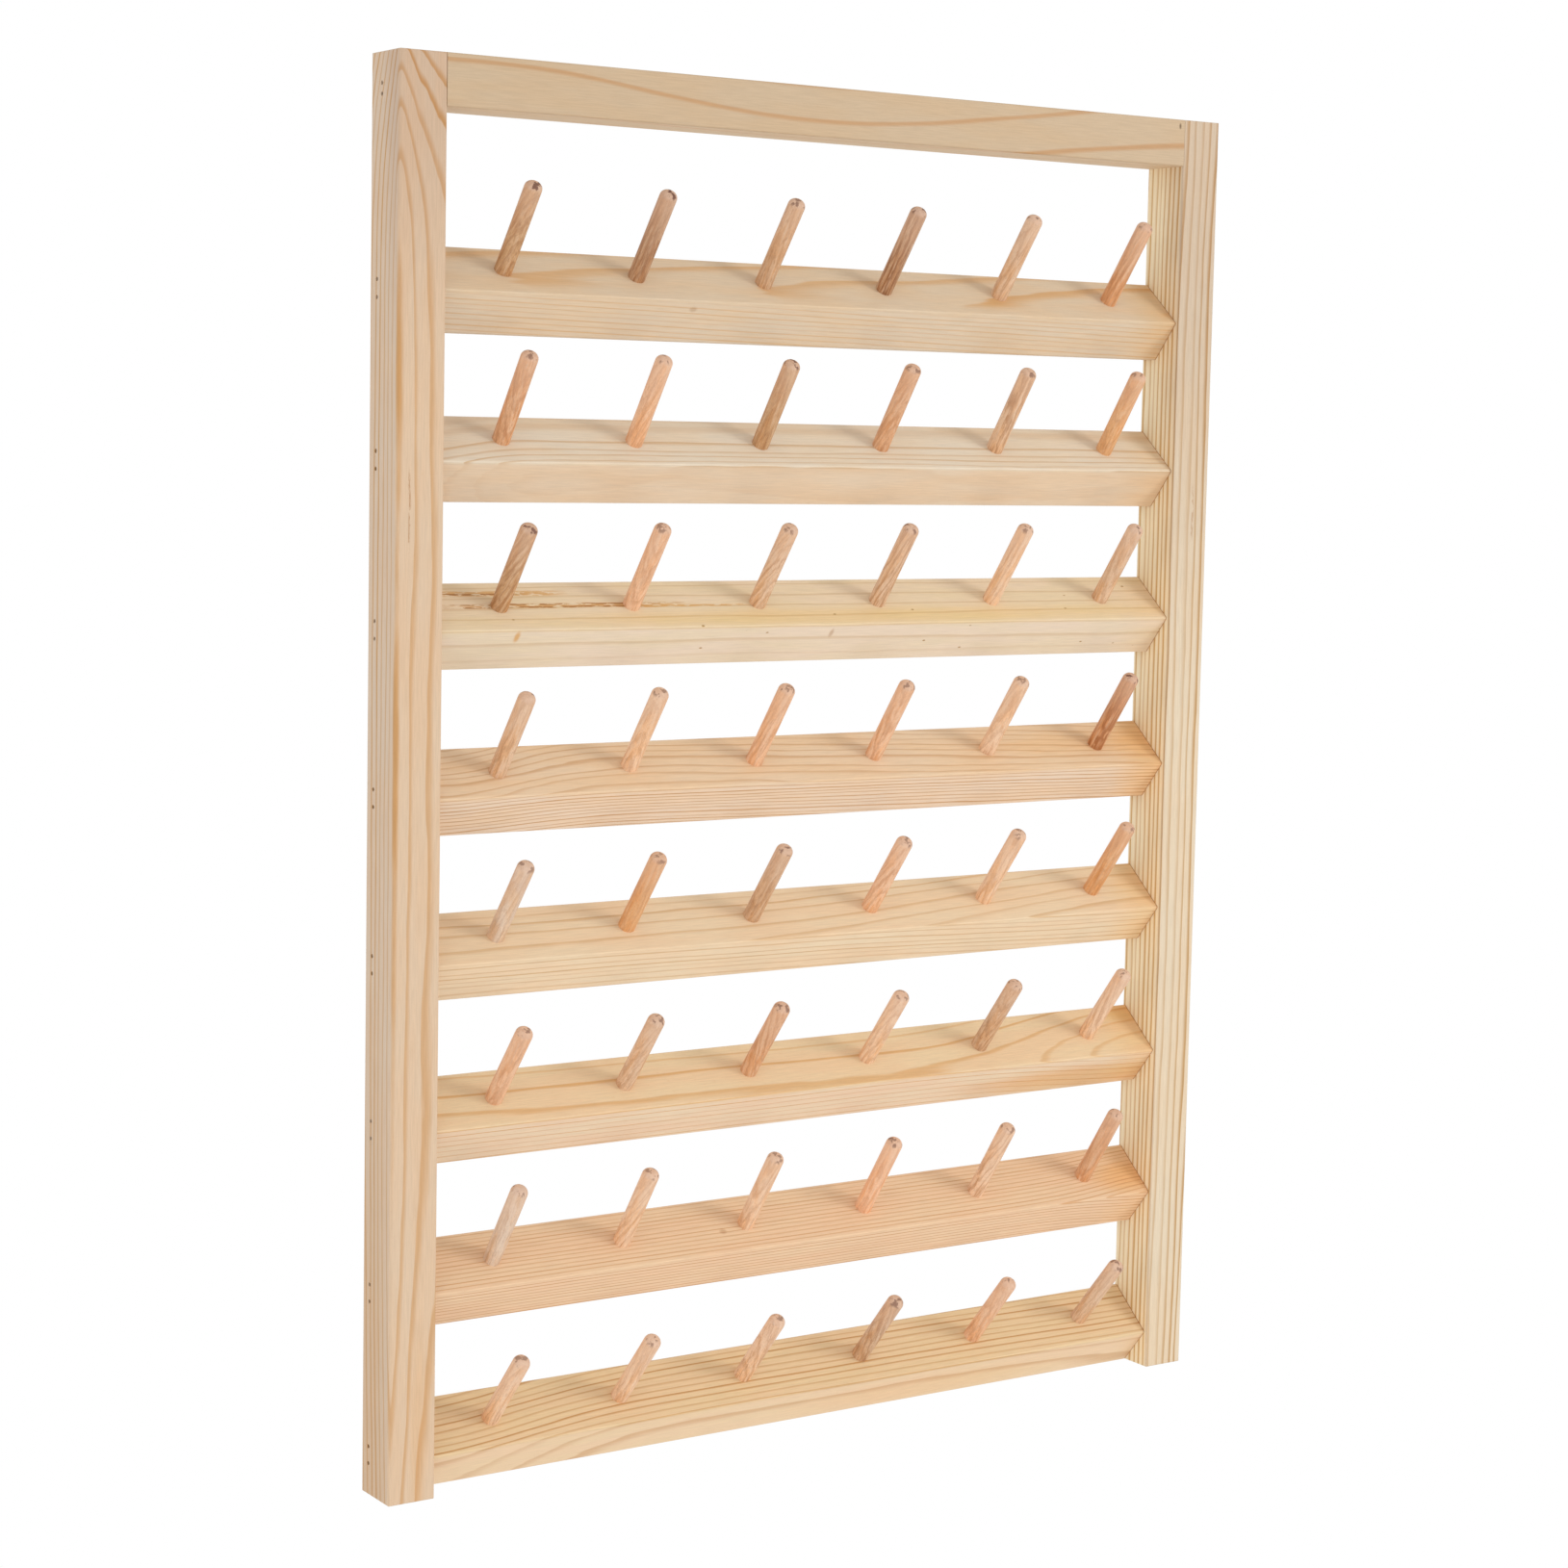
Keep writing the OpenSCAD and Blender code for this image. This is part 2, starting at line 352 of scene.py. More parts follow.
def resin_streak():
    """Broken dark dashes of resin along a board's X, near its main face. Lengths are in mm."""
    s, given, result = shader_group(
        "Resin streak",
        {
            "Place": (0, 0, 0), "Middle": 0, "Half Length": 20, "Across": 0, "Half Width": 0.8,
            "Breaks": 0.45, "Depth": 1.5,
        },
        ("Mask",),
    )
    x, across, out = s.parts(given["Place"])
    along = s.calc("ABSOLUTE", s.over(s.minus(x, given["Middle"]), given["Half Length"]))
    taper = s.ramp(along, *RESIN_TAPER)
    broken = s.noise(s.drawn_out(given["Place"], RESIN_RUN), *RESIN_BREAKS)
    kept = s.ramp(broken, given["Breaks"], s.plus(given["Breaks"], RESIN_BREAK_EDGE))
    sway = s.noise(s.joined(s.over(x, SWAY_RUN), 0.0, 0.0), *SWAY)
    line = s.minus(across, s.plus(given["Across"], s.minus(sway, 0.5)))
    core = s.times(given["Half Width"], RESIN_CORE)
    near = s.ramp(s.calc("ABSOLUTE", line), given["Half Width"], core)
    shallow = s.ramp(s.times(out, -1.0), given["Depth"], 0.0)
    s.feed(result["Mask"], s.times(s.times(taper, kept), s.times(near, shallow)))
    return s.tree


SPECK_RUN = 1.9
SPECK_CORE = 0.4
SPECK_SEED_STEP = 5.1


def resin_specks():
    """Small scattered specks drawn out a little along a board's X."""
    defaults = {"Place": (0, 0, 0), "Seed": 0, "Spacing": 12, "Size": 0.5, "Share": 0.4}
    s, given, result = shader_group("Resin specks", defaults, ("Mask",))
    drawn = s.drawn_out(given["Place"], SPECK_RUN, s.times(given["Seed"], SPECK_SEED_STEP))
    fineness = s.over(1.0, given["Spacing"])
    cells = s.add("ShaderNodeTexVoronoi", {"Vector": drawn, "Scale": fineness}).outputs
    distance = s.times(cells["Distance"], given["Spacing"])
    dot = s.ramp(distance, given["Size"], s.times(given["Size"], SPECK_CORE))
    pick = s.parts(cells["Color"])[0]
    s.feed(result["Mask"], s.times(dot, s.calc("LESS_THAN", pick, given["Share"])))
    return s.tree


PEG_STREAKS = (1.1, 3.0, 0.6)
PEG_STREAK_RUN = 14.0
PEG_BLOTCHES = (0.33, 2.0, 0.6)
PEG_BLOTCH_RUN = 5.0
PEG_FLECKS = (2.4, 1.0, 0.5)
PEG_FLECK_RUN = 7.5
PEG_FLECK_RANGE = (0.58, 0.68)
PEG_RAYS = (3.0, 1.0, 0.5)
PEG_RAY_RUN = 2.5
PEG_SWAY = (1.0, 2.0, 0.5)
PEG_SWAY_RUN = 9.0
PEG_SWAY_WIDTH = 0.3
PEG_SWAY_SHARE = 1.6
PEG_YEARS_PER_MM = 0.55
PEG_YEAR_DARKENS = (0.45, 0.9)
PEG_YEAR_BREAKS = (1.0, 0.92)
# Each peg's grain is taken this far from the last one's, and slants by up to half of the number after it
PEG_STEP = (7.3, 11.9, 57.1)
PEG_SLANT = 0.5
# Where the painted light towards a peg's tip starts, as a share of its reach
OUTWARD_START = 0.25
# The end grain starts this far below the tip, in mm, and is full at the second distance
END_DEPTHS = (1.5, 0.2)
END_EDGE = (0.6, 1.0, 0.5)
END_SPOTS = (0.5, 2.0, 0.6)
END_SPOT_FLATNESS = 0.5
END_SPOT_RANGE = (0.53, 0.61)


def dowel_grain():
    """Grain of a turned hardwood peg in its own coordinates, in mm, with +Z out along the peg."""
    s, given, result = shader_group(
        "Dowel grain",
        {"Place": (0, 0, 0), "Number": 0, "Reach": 33.5},
        ("Streak", "Blotch", "Fleck", "Line", "Ray", "Outward", "End", "End Spot"),
    )
    along = s.parts(given["Place"])[2]
    shifted = s.vector("ADD", given["Place"], s.scaled(PEG_STEP, given["Number"]))
    x, y, z = s.parts(shifted)
    slant = s.times(s.minus(s.random(given["Number"]), 0.5), PEG_SLANT)
    lean = s.plus(x, s.times(along, slant))
    fleck = s.noise(s.joined(lean, y, s.over(z, PEG_FLECK_RUN)), *PEG_FLECKS)
    s.feed(result["Streak"], s.noise(s.joined(lean, y, s.over(z, PEG_STREAK_RUN)), *PEG_STREAKS))
    s.feed(result["Blotch"], s.noise(s.joined(x, y, s.over(z, PEG_BLOTCH_RUN)), *PEG_BLOTCHES))
    s.feed(result["Fleck"], s.ramp(fleck, *PEG_FLECK_RANGE))
    s.feed(result["Ray"], s.noise(s.joined(x, y, s.over(z, PEG_RAY_RUN)), *PEG_RAYS))

    wide = s.joined(s.times(x, PEG_SWAY_WIDTH), s.times(y, PEG_SWAY_WIDTH), s.over(z, PEG_SWAY_RUN))
    sway = s.times(s.noise(wide, *PEG_SWAY), PEG_SWAY_SHARE)
    part = s.calc("FRACT", s.plus(s.times(lean, PEG_YEARS_PER_MM), sway))
    s.feed(result["Line"], s.times(s.ramp(part, *PEG_YEAR_DARKENS), s.ramp(part, *PEG_YEAR_BREAKS)))

    reach = given["Reach"]
    start, full = (s.minus(reach, depth) for depth in END_DEPTHS)
    spots = s.noise(s.joined(x, y, s.times(z, END_SPOT_FLATNESS)), *END_SPOTS)
    # How far out along the peg, for the painted light towards the tip
    s.feed(result["Outward"], s.ramp(along, s.times(reach, OUTWARD_START), reach))
    s.feed(result["End"], s.ramp(s.plus(along, s.noise(shifted, *END_EDGE)), start, full))
    s.feed(result["End Spot"], s.ramp(spots, *END_SPOT_RANGE))
    return s.tree


RINGS = growth_rings()
FIBRE = wood_fibre()
PATCH = soft_patch()
STREAK = resin_streak()
SPECKS = resin_specks()
DOWEL = dowel_grain()


def new_material(name):
    """An empty material with a Principled shader. Returns the material, its steps and the shader."""
    material = bpy.data.materials.new(name)
    material.use_nodes = True
    material.node_tree.nodes.clear()
    s = Steps(material.node_tree)
    shader = s.add("ShaderNodeBsdfPrincipled")
    s.add("ShaderNodeOutputMaterial", {"Surface": shader.outputs["BSDF"]})
    return material, s, shader


def use(s, group, values, named=None):
    """Puts a node group into a material, with its first inputs in order and others by name."""
    made = s.add("ShaderNodeGroup", named, node_tree=group)
    for socket, value in zip(made.inputs, values):
        s.feed(socket, value)
    return made.outputs


def dress(s, shader, base, roughness, bump):
    """Gives a shader its colour, roughness and fine relief."""
    for name, value in (("Base Color", base), ("Roughness", roughness), ("Normal", bump)):
        s.feed(shader.inputs[name], value)


def board_place(s, corner, along, across):
    """Object coordinates turned into a board's own, in mm from one of its corners: along, across and out."""
    turn = Matrix((along, across, along.cross(across)))
    here = s.add("ShaderNodeTexCoord").outputs["Object"]
    inputs = {
        "Vector": here,
        "Location": -(turn @ corner) * TO_MM,
        "Rotation": turn.to_euler("XYZ"),
        "Scale": (TO_MM, TO_MM, TO_MM),
    }
    return s.first("ShaderNodeMapping", inputs)


# The look's under tint, which is painted light and shade on the faces behind the main face, and its contrast
# set in between these heights from the main face, in mm
UNDER_DEPTHS = (-0.3, -1.5)
CLOUD_RANGE = (0.35, 0.65)
STREAK_RANGE = (0.3, 0.7)
STREAK_TONES = (0.94, 1.04)
CALM_RAGGEDNESS = 0.1
STREAK_HEIGHT = 0.6
LATE_HEIGHT = 0.5
# Roughness of the early and of the late wood
PINE_ROUGHNESS = (0.62, 0.5)
PINE_SHINE = 0.3
# A bump is given as its strength and depth
PINE_BUMP = (0.25, 0.06 * MM)


def ring_contrast(s, place, under, look):
    """Strength of the late wood, which the look may change behind the main face and in a calm zone."""
    share = look["under"][0]
    contrast = s.between(under, look["contrast"], look["contrast"] * share)
    if "calm" in look:
        *zone, left = look["calm"]
        calm = use(s, PATCH, (place, *zone, CALM_RAGGEDNESS))["Mask"]
        contrast = s.times(contrast, s.between(calm, 1.0, left))
    return contrast


def marks(s, place, base, look):
    """The look's stains and patches of painted light and shade, resin streaks and specks over the wood's
    colour.
    """
    for *shape, tint, strength in look["patches"]:
        mask = use(s, PATCH, (place, *shape))["Mask"]
        base = s.blend(s.times(mask, strength), base, s.stained(base, tint))
    for *shape, resin, strength in look.get("streaks", ()):
        mask = use(s, STREAK, (place, *shape))["Mask"]
        base = s.blend(s.times(mask, strength), base, resin)
    if "specks" in look:
        *scatter, resin = look["specks"]
        mask = use(s, SPECKS, (place, look["seed"], *scatter))["Mask"]
        base = s.blend(mask, base, resin)
    return base


def pine(name, corner, along, across, look):
    """Planed pine for one board. The look names its rings, tones and marks, and its painted light and shade.
    """
    material, s, shader = new_material(name)
    place = board_place(s, corner, along, across)
    late = use(s, RINGS, (place, look["seed"]), look["rings"])["Late"]
    fibre = use(s, FIBRE, (place, look["seed"]))
    under = s.ramp(s.parts(place)[2], *UNDER_DEPTHS)
    early = s.blend(s.ramp(fibre["Cloud"], *CLOUD_RANGE), look["early"], look["warm"])
    base = s.blend(s.times(late, ring_contrast(s, place, under, look)), early, look["late"])
    fine = s.ramp(fibre["Streak"], *STREAK_RANGE, *STREAK_TONES)
    base = s.stained(base, s.grey(fine))
    base = s.blend(s.times(fibre["Pore"], look["pores"]), base, look["late"])
    # Painted light and shade: the faces behind the main face are made lighter or darker by the look's under
    # tint
    base = s.blend(under, base, s.stained(base, look["under"][1]))
    base = marks(s, place, base, look)
    height = s.plus(s.times(fibre["Streak"], STREAK_HEIGHT), s.times(late, LATE_HEIGHT))
    dress(s, shader, base, s.between(late, *PINE_ROUGHNESS), s.bump(height, *PINE_BUMP))
    shader.inputs["Specular IOR Level"].default_value = PINE_SHINE
    return material


RESIN_BROWN = colour(164, 108, 56)
RESIN_ORANGE = colour(212, 158, 88)
SPECK_BROWN = colour(172, 132, 76)
# Stains multiply the wood's own colour, and so do the patches of painted light and shade
MARK_STAIN = colour(196, 162, 128)
# Amber stain, which also paints the bounced light at the rails' right ends
AMBER_STAIN_AND_PAINTED_BOUNCE = colour(255, 230, 186)
BROWN_STAIN = colour(243, 214, 164)
ALONG_X = Vector((1, 0, 0))
UP_BEVEL = Vector((0, math.cos(BEVEL), math.sin(BEVEL)))
DOWN = Vector((0, 0, -1))
UPWARD = Vector((0, 0, 1))
# Where a rail is more yellow at its right end, as painted light bounced from the right stile and painted
# shade beside it: centre and radii
RIGHT_END_PAINTED_BOUNCE = ((146, 8, -4), (26, 40, 40))
# Thin dark lines where a rail's ends meet the stiles
END_RADII = (0.55, 90, 90)
END_LINES = (((-144, 0, 0), END_RADII, MARK_STAIN, 0.85), ((144, 0, 0), END_RADII, MARK_STAIN, 0.85))
# The stiles are a little darker at the top: painted shade, where the light falls off towards the top of the
# rack
LEFT_TOP_PAINTED_SHADE = ((-20, 8, 0), (130, 40, 14), colour(240, 236, 236), 1.0)
RIGHT_TOP_PAINTED_SHADE = ((-20, 8, 0), (250, 40, 14), colour(236, 231, 231), 1.0)

# In a look, lengths are in mm in the board's own coordinates, and these stand for:
# under: share of the contrast left behind the main face, and the tint there, which is painted light and
# shade
# calm: centre and radii of a zone with fainter rings, and the share of the contrast left in it
# patches: centre, radii, tint and strength of each, for stains and for painted light and shade
# streaks: middle, half length, place across, half width, breaks, colour and strength of each
# specks: spacing, size, share and colour

# Peg rails: Y runs up the upper bevel from the nose, Z out of it, X from the middle
RAIL_LOOKS = (
    {
        # Rail 1's colours are a little darker, partly its own tone and partly painted shade where the light
        # falls off at the top of the rack
        "seed": 1, "contrast": 0.76, "pores": 0.12, "calm": ((0, 0.5, 0), (900, 6, 2.5), 0.1),
        "under": (0.8, (1.016, 1.055, 1.123, 1.0)),
        "early": colour(221, 199, 170), "warm": colour(223, 196, 162), "late": colour(210, 157, 92),
        "rings": {
            "Pith": (0, 5, 50), "Slope per 100": (0, 0, -2.3), "Ring Width": 2.0, "Ring Shift": 0.76,
            "Wander": 0.3, "Unevenness": 0.2,
        },
        "patches": ((*RIGHT_END_PAINTED_BOUNCE, AMBER_STAIN_AND_PAINTED_BOUNCE, 0.5), ((-54, 0, -3.5), (2, 1, 1.4), MARK_STAIN, 0.4)),
    },
    {
        "seed": 2, "contrast": 0.7, "pores": 0.1, "under": (0.2, (1.007, 0.935, 0.877, 1.0)),
        "early": colour(228, 213, 191), "warm": colour(229, 209, 182), "late": colour(202, 160, 110),
        "rings": {
            "Pith": (0, -50, -8), "Ring Width": 2.1, "Width Drift": 0.012, "Ring Shift": 0.2,
            "First Swell": (0, -6, 0), "First Place": -150, "First Length": 22, "Wander": 0.7,
        },
        "patches": ((*RIGHT_END_PAINTED_BOUNCE, AMBER_STAIN_AND_PAINTED_BOUNCE, 0.3),),
    },
    {
        "seed": 3, "contrast": 0.7, "pores": 0.08, "under": (0.6, (1.016, 1.066, 1.190, 1.0)),
        "early": colour(231, 209, 173), "warm": colour(233, 210, 179), "late": colour(201, 163, 109),
        "rings": {"Pith": (0, -35, -35), "Ring Width": 3.8, "Wander": 0.5, "Late Share": 0.25},
        "patches": (
            ((20, 4, 0), (190, 6, 1.5), colour(255, 244, 208), 0.7),
            (*RIGHT_END_PAINTED_BOUNCE, AMBER_STAIN_AND_PAINTED_BOUNCE, 0.25),
            ((-116.4, 0, -3), (1.4, 1, 3.2), colour(240, 196, 130), 0.8),
            ((2, 0, -4), (1.2, 1, 2.6), MARK_STAIN, 0.5),
        ),
        "streaks": (
            (-118, 28, 16.5, 1.7, 0.4, RESIN_ORANGE, 0.8),
            (-124, 18, 16.2, 0.5, 0.42, RESIN_BROWN, 0.9),
            (-94, 50, 10.8, 1.5, 0.41, RESIN_ORANGE, 0.8),
            (-96, 48, 11.4, 0.5, 0.43, RESIN_BROWN, 0.8),
            (-104, 44, 10.2, 0.5, 0.44, RESIN_BROWN, 0.9),
            (-50, 26, 10.0, 0.6, 0.42, RESIN_ORANGE, 0.8),
        ),
        "specks": (6, 0.45, 0.9, SPECK_BROWN),
    },
    {
        "seed": 4, "contrast": 0.75, "pores": 0.1, "under": (2.1, (1.052, 1.123, 1.280, 1.0)),
        "early": colour(232, 204, 171), "warm": colour(233, 200, 162), "late": colour(199, 149, 99),
        "rings": {
            "Pith": (0, -16, -50), "Ring Width": 1.45, "Wander": 0.5, "Slope per 100": (0, -5.2, 0),
            "First Swell": (0, -13, 0), "First Place": -144, "First Length": 42,
        },
        "patches": ((*RIGHT_END_PAINTED_BOUNCE, AMBER_STAIN_AND_PAINTED_BOUNCE, 0.7), ((110, 12, 0), (50, 14, 14), AMBER_STAIN_AND_PAINTED_BOUNCE, 0.3)),
    },
    {
        "seed": 5, "contrast": 0.65, "pores": 0.08, "under": (1.3, (1.046, 1.102, 1.177, 1.0)),
        "early": colour(234, 209, 174), "warm": colour(235, 205, 168), "late": colour(203, 156, 99),
        "rings": {
            "Pith": (0, -15, 45), "Ring Width": 2.3, "Wander": 0.5, "Late Share": 0.35,
            "First Swell": (0, 0, -7), "First Place": 150, "First Length": 110,
        },
        "patches": ((*RIGHT_END_PAINTED_BOUNCE, AMBER_STAIN_AND_PAINTED_BOUNCE, 0.5),),
    },
    {
        "seed": 6, "contrast": 0.75, "pores": 0.2, "under": (1.3, (1.039, 1.100, 1.286, 1.0)),
        "early": colour(233, 206, 166), "warm": colour(234, 201, 161), "late": colour(211, 155, 87),
        "rings": {
            "Pith": (0, -4, 45), "Slope per 100": (0, 0, 0.55), "Ring Width": 2.5, "Ring Shift": 0.88,
            "First Swell": (0, 0, -7.5), "First Place": 150, "First Length": 60,
            "Wander": 0.35, "Unevenness": 0.2, "Late Share": 0.24,
        },
        "patches": (
            (*RIGHT_END_PAINTED_BOUNCE, AMBER_STAIN_AND_PAINTED_BOUNCE, 0.4),
            ((116, 0, -11), (66, 6, 9), BROWN_STAIN, 0.65),
            ((142, 18, 0), (16, 6, 3), AMBER_STAIN_AND_PAINTED_BOUNCE, 0.6),
        ),
    },
    {
        "seed": 7, "contrast": 0.95, "pores": 0.16, "under": (1.3, (1.066, 1.108, 1.177, 1.0)),
        "early": colour(234, 201, 164), "warm": colour(234, 197, 160), "late": colour(202, 147, 96),
        "rings": {
            "Pith": (0, -45, 45), "Ring Width": 1.25, "Wander": 0.2,
            "First Swell": (0, 0, -4.5), "First Place": 150, "First Length": 30,
        },
        "patches": (
            (*RIGHT_END_PAINTED_BOUNCE, AMBER_STAIN_AND_PAINTED_BOUNCE, 0.3),
            ((138, 8, 0), (22, 9, 6), AMBER_STAIN_AND_PAINTED_BOUNCE, 0.6),
            ((-33.6, 8.6, 0), (2, 1.5, 1), MARK_STAIN, 0.45),
        ),
    },
    {
        "seed": 8, "contrast": 1.0, "pores": 0.1, "under": (0.55, (1.072, 1.072, 1.170, 1.0)),
        "early": colour(230, 201, 157), "warm": colour(231, 199, 157), "late": colour(192, 138, 78),
        "rings": {
            "Pith": (0, -45, -18), "Ring Width": 2.3, "Ring Shift": -0.26, "Wander": 0.4,
            "Late Share": 0.4, "Unevenness": 0.3,
            "First Swell": (0, -7, 0), "First Place": -144, "First Length": 46,
            "Second Swell": (0, -1.3, 0), "Second Place": 150, "Second Length": 60,
        },
        "patches": (((52, 0, -10), (80, 6, 9), AMBER_STAIN_AND_PAINTED_BOUNCE, 0.25),),
    },
)
# The top rail: Y runs up its front from the lower edge, Z out of it, X from the middle. Its colours are
# darker than the rails', partly its own tone and partly painted shade where the light falls off at the top
# of the rack
TOP_LOOK = {
    "seed": 11, "contrast": 0.7, "pores": 0.1, "calm": ((-122, 1, 0), (50, 8, 30), 0.1),
    "under": (0.8, (1.25, 1.28, 1.3, 1.0)),
    "early": colour(202, 177, 146), "warm": colour(203, 175, 141), "late": colour(187, 134, 79),
    "rings": {
        "Pith": (0, -14, -30), "Ring Width": 9, "Ring Shift": 0.313, "First Swell": (0, -18, 0),
        "First Place": -10, "First Length": 115, "Second Swell": (0, -5, 0), "Second Place": -160,
        "Second Length": 40, "Wander": 0.3, "Unevenness": 0.05, "Late Share": 0.2,
    },
    "patches": (((142, 13.7, 0), (0.7, 1.4, 1), colour(150, 138, 126), 0.9),),
}
# The stiles: X runs down from the top, Y across from the left arris, Z out of the front
LEFT_LOOK = {
    "seed": 21, "contrast": 1.1, "pores": 0.1, "under": (1.08, (0.95, 1.0, 1.085, 1.0)),
    "early": colour(218, 191, 162), "warm": colour(219, 188, 156), "late": colour(197, 144, 83),
    "rings": {
        "Pith": (0, 30, -50), "Ring Width": 2.4, "Wander": 0.5, "Unevenness": 0.25,
        "First Swell": (0, -14, 18), "First Place": -60, "First Length": 62,
        "Second Swell": (0, -2.1, 2.6), "Second Place": 470, "Second Length": 90,
    },
    "streaks": ((137, 14, 4.5, 0.5, 0.45, RESIN_BROWN, 0.6),),
    "patches": (
        # Painted shade at the top of the stile
        LEFT_TOP_PAINTED_SHADE,
        ((425, 10, 0), (50, 4, 2), AMBER_STAIN_AND_PAINTED_BOUNCE, 0.25),
        ((445, 0, -12), (190, 8, 14), BROWN_STAIN, 0.3),
    ),
}
RIGHT_LOOK = {
    "seed": 22, "contrast": 1.05, "pores": 0.1, "under": (1.3, (1.27, 1.33, 1.29, 1.0)),
    "early": colour(224, 206, 179), "warm": colour(225, 203, 173), "late": colour(190, 149, 99),
    "rings": {
        "Pith": (0, -30, -52), "Ring Width": 2.0, "Wander": 0.5, "Unevenness": 0.5,
        "First Swell": (0, 2, 0), "First Place": -10, "First Length": 50,
        "Second Swell": (0, -3, 0), "Second Place": 460, "Second Length": 90, "Late Share": 0.55,
    },
    "streaks": ((137, 12, 9, 0.6, 0.45, RESIN_BROWN, 0.5),),
    # Painted shade at the top of the stile
    "patches": (RIGHT_TOP_PAINTED_SHADE,),
}


def nose_z(row):
    """Height of a rail's nose, from its CAD box."""
    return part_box(f"peg_rail_{row}")[0][2] + LOWER_BEVEL * math.cos(BEVEL)


def flat_planes(mesh):
    """Sorts a board's faces into flat planes. Gives each face's plane, and the planes' normals and areas."""
    count = len(mesh.polygons)
    normals = np.zeros((count, 3))
    offsets = np.zeros(count)
    areas = np.zeros(count)
    plane_of = np.zeros(count, int)
    found = 0
    for face in sorted(mesh.polygons, key=lambda face: face.area, reverse=True):
        facing = normals[:found] @ np.array(face.normal)
        gap = np.abs(normals[:found] @ np.array(face.center) - offsets[:found])
        same = (facing > PLANE_TURN) & (gap < PLANE_GAP)
        plane = int(same.argmax()) if same.any() else found
        if plane == found:
            normals[found] = face.normal
            offsets[found] = np.dot(face.normal, face.center)
            found += 1
        areas[plane] += face.area
        plane_of[face.index] = plane
    return plane_of, normals[:found], areas[:found]


def shade_by_planes(mesh):
    """Keeps each flat face of a board flat and lets the arrises shade smoothly between them."""
    mesh.shade_smooth()
    plane_of, normals, areas = flat_planes(mesh)
    around = [set() for vertex in mesh.vertices]
    for face in mesh.polygons:
        for vertex in face.vertices:
            around[vertex].add(int(plane_of[face.index]))
    shaded = []
    for face in mesh.polygons:
        own = normals[plane_of[face.index]]
        for vertex in face.vertices:
            near = [plane for plane in around[vertex] if normals[plane] @ own > SMOOTH_TURN]
            total = sum((normals[plane] * areas[plane] ** 2 for plane in near), np.zeros(3))
            length = np.linalg.norm(total)
            shaded.append(tuple(total / length) if length > 0 else tuple(own))
    mesh.normals_split_custom_set(shaded)


def board(name, node, material):
    """A clean copy of a board's CAD mesh with smooth arrises, which stands for the CAD node."""
    mesh = bpy.data.meshes.new(name)
    shape = bmesh.new()
    shape.from_mesh(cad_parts[node].data)
    bmesh.ops.remove_doubles(shape, verts=shape.verts, dist=SAME_PLACE)
    bmesh.ops.dissolve_degenerate(shape, edges=shape.edges, dist=SAME_PLACE)
    bmesh.ops.recalc_face_normals(shape, faces=shape.faces)
    shape.to_mesh(mesh)
    shape.free()
    shade_by_planes(mesh)
    mesh.materials.clear()
    mesh.materials.append(material)
    return finished(name, mesh, [node])


def finished(name, mesh, nodes):
    """A plain mesh piece on the root body that stands for these CAD nodes."""
    mesh.name = name
    piece = bpy.data.objects.new(name, mesh)
    bpy.context.scene.collection.objects.link(piece)
    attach(piece, "root")
    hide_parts(*nodes)
    return piece


def settled(draft, name, nodes):
    """Turns a draft object into a finished piece without modifiers."""
    bpy.context.view_layer.update()
    evaluated = draft.evaluated_get(bpy.context.evaluated_depsgraph_get())
    mesh = bpy.data.meshes.new_from_object(evaluated)
    bpy.data.objects.remove(draft)
    return finished(name, mesh, nodes)


def boards():
    """The stiles, the top rail and the peg rails."""
    for side, left_edge, look in (("left", -RACK_HALF, LEFT_LOOK), ("right", INNER_HALF, RIGHT_LOOK)):
        corner = Vector((left_edge, STILE_FRONT, RACK_TOP))
        material = pine(f"Pine, {side} stile", corner, DOWN, ALONG_X, look)
        board(f"{side}_stile_board", f"{side}_stile", material)
    corner = Vector((0, STILE_FRONT, -RACK_TOP))
    material = pine("Pine, top rail", corner, ALONG_X, UPWARD, TOP_LOOK)
    board("top_rail_board", "top_rail", material)
    for row, look in enumerate(RAIL_LOOKS, 1):
        corner = Vector((0, NOSE_Y, nose_z(row)))
        look = {**look, "patches": (*look["patches"], *END_LINES)}
        material = pine(f"Pine, peg rail {row}", corner, ALONG_X, UP_BEVEL, look)
        board(f"peg_rail_board_{row}", f"peg_rail_{row}", material)


GEOMETRY_SOCKETS = {
    "geometry": "NodeSocketGeometry",
    "value": "NodeSocketFloat",
    "whole": "NodeSocketInt",
    "vector": "NodeSocketVector",
    "material": "NodeSocketMaterial",
}


def geometry_tree(name, inputs):
    """A new Geometry Nodes tree with named inputs and a geometry output."""
    tree = bpy.data.node_groups.new(name, "GeometryNodeTree")
    for label, kind in inputs.items():
        tree.interface.new_socket(label, in_out="INPUT", socket_type=GEOMETRY_SOCKETS[kind])
    tree.interface.new_socket("Geometry", in_out="OUTPUT", socket_type=GEOMETRY_SOCKETS["geometry"])
    s = Steps(tree)
    return s, s.add("NodeGroupInput").outputs, s.add("NodeGroupOutput").inputs


def run_tree(name, tree, values):
    """A draft object whose modifier runs the tree with these inputs, set before it is first evaluated."""
    draft = bpy.data.objects.new(name + "_draft", bpy.data.meshes.new(name + "_empty"))
    modifier = draft.modifiers.new("Shape", "NODES")
    modifier.node_group = tree
    for item in tree.interface.items_tree:
        if item.in_out == "INPUT":
            modifier[item.identifier] = values[item.name]
    bpy.context.scene.collection.objects.link(draft)
    return draft


def line_of_points(s, count, start, offset):
    """Points in a straight line, each this far from the last."""
    inputs = {"Count": count, "Start Location": start, "Offset": offset}
    return s.first("GeometryNodeMeshLine", inputs)


